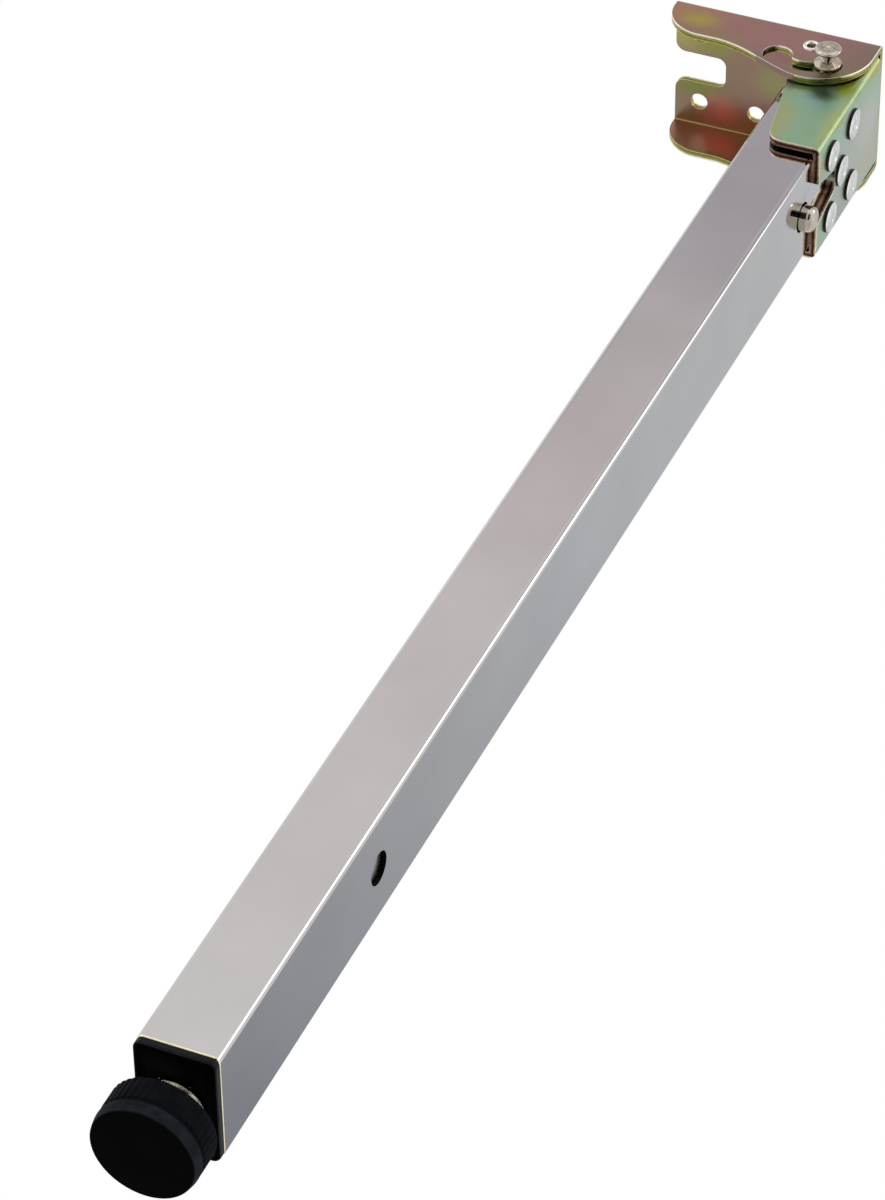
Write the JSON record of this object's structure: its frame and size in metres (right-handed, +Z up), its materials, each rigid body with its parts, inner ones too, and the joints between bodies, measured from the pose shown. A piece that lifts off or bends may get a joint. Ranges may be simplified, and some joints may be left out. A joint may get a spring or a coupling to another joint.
{
  "type": "folding table leg",
  "caption": "Folding telescopic table leg: sheet steel mounting bracket with arc slots and spring lock pin, riveted clip, rectangular tubes with snap button, levelling foot.",
  "frame": {"origin": "on the flat mounting face of the base bracket, on the centre line of the leg tube", "axes": "+Z up out of the mounting face into the table top, the leg hangs along -Z and folds towards -X, the lock knob is on -Y"},
  "size_m": [0.0623, 0.0473, 0.4395],
  "materials": {
    "chromated_steel": "yellow chromated zinc plate, iridescent",
    "rivet_steel": "bright zinc plate",
    "plated_tube": "polished nickel-chrome plate",
    "spring_steel": "bright spring steel",
    "nickel_steel": "nickel plate",
    "black_plastic": "black moulded plastic",
    "black_rubber": "black moulded rubber-like plastic"
  },
  "bodies": {
    "bracket": {"base_bracket": "chromated_steel", "pivot_rivet_front": "rivet_steel", "pivot_rivet_rear": "rivet_steel"},
    "leg": {"leg_clip": "chromated_steel", "outer_tube": "plated_tube", "rivet_1": "rivet_steel", "rivet_2": "rivet_steel", "rivet_3": "rivet_steel", "rivet_4": "rivet_steel", "rivet_5": "rivet_steel", "lock_spring": "spring_steel"},
    "lock": {"lock_pin": "nickel_steel", "lock_knob": "nickel_steel"},
    "inner": {"inner_tube": "plated_tube", "end_plug": "black_plastic", "nut_insert": "rivet_steel"},
    "button": {"snap_button": "spring_steel"},
    "washer": {"foot_washer": "rivet_steel"},
    "foot": {"foot_pad": "black_rubber", "foot_stem": "rivet_steel"}
  },
  "joints": [
    {"name": "fold", "type": "hinge", "parent": "bracket", "child": "leg", "pos_m": [-0.0063, 0, -0.009], "axis": [0, 1, 0], "range_deg": [0, 90]},
    {"name": "lock_pin_slide", "type": "slide", "parent": "leg", "child": "lock", "axis": [0, -1, 0], "range_m": [0, 0.0022], "stiffness_N_per_m": 600, "springref_m": 0.006, "deforming": ["lock_spring"]},
    {"name": "tube_slide", "type": "slide", "parent": "leg", "child": "inner", "axis": [0, 0, -1], "range_m": [0, 0.2785], "deforming": ["snap_button"]},
    {"name": "button_press", "type": "slide", "parent": "inner", "child": "button", "axis": [-1, 0, 0], "range_m": [0, 0.005], "stiffness_N_per_m": 800, "deforming": ["snap_button"]},
    {"name": "foot_slide", "type": "slide", "parent": "inner", "child": "washer", "axis": [0, 0, -1], "range_m": [-0.0034, 0.0083]},
    {"name": "pad_turn", "type": "hinge", "parent": "washer", "child": "foot", "pos_m": [0, 0, -0.434], "axis": [0, 0, 1], "range_deg": [-2400, 1080]}
  ],
  "couplings": [
    {"joint": "pad_turn", "follows": "foot_slide", "rad_per_m": -5026.5}
  ]
}
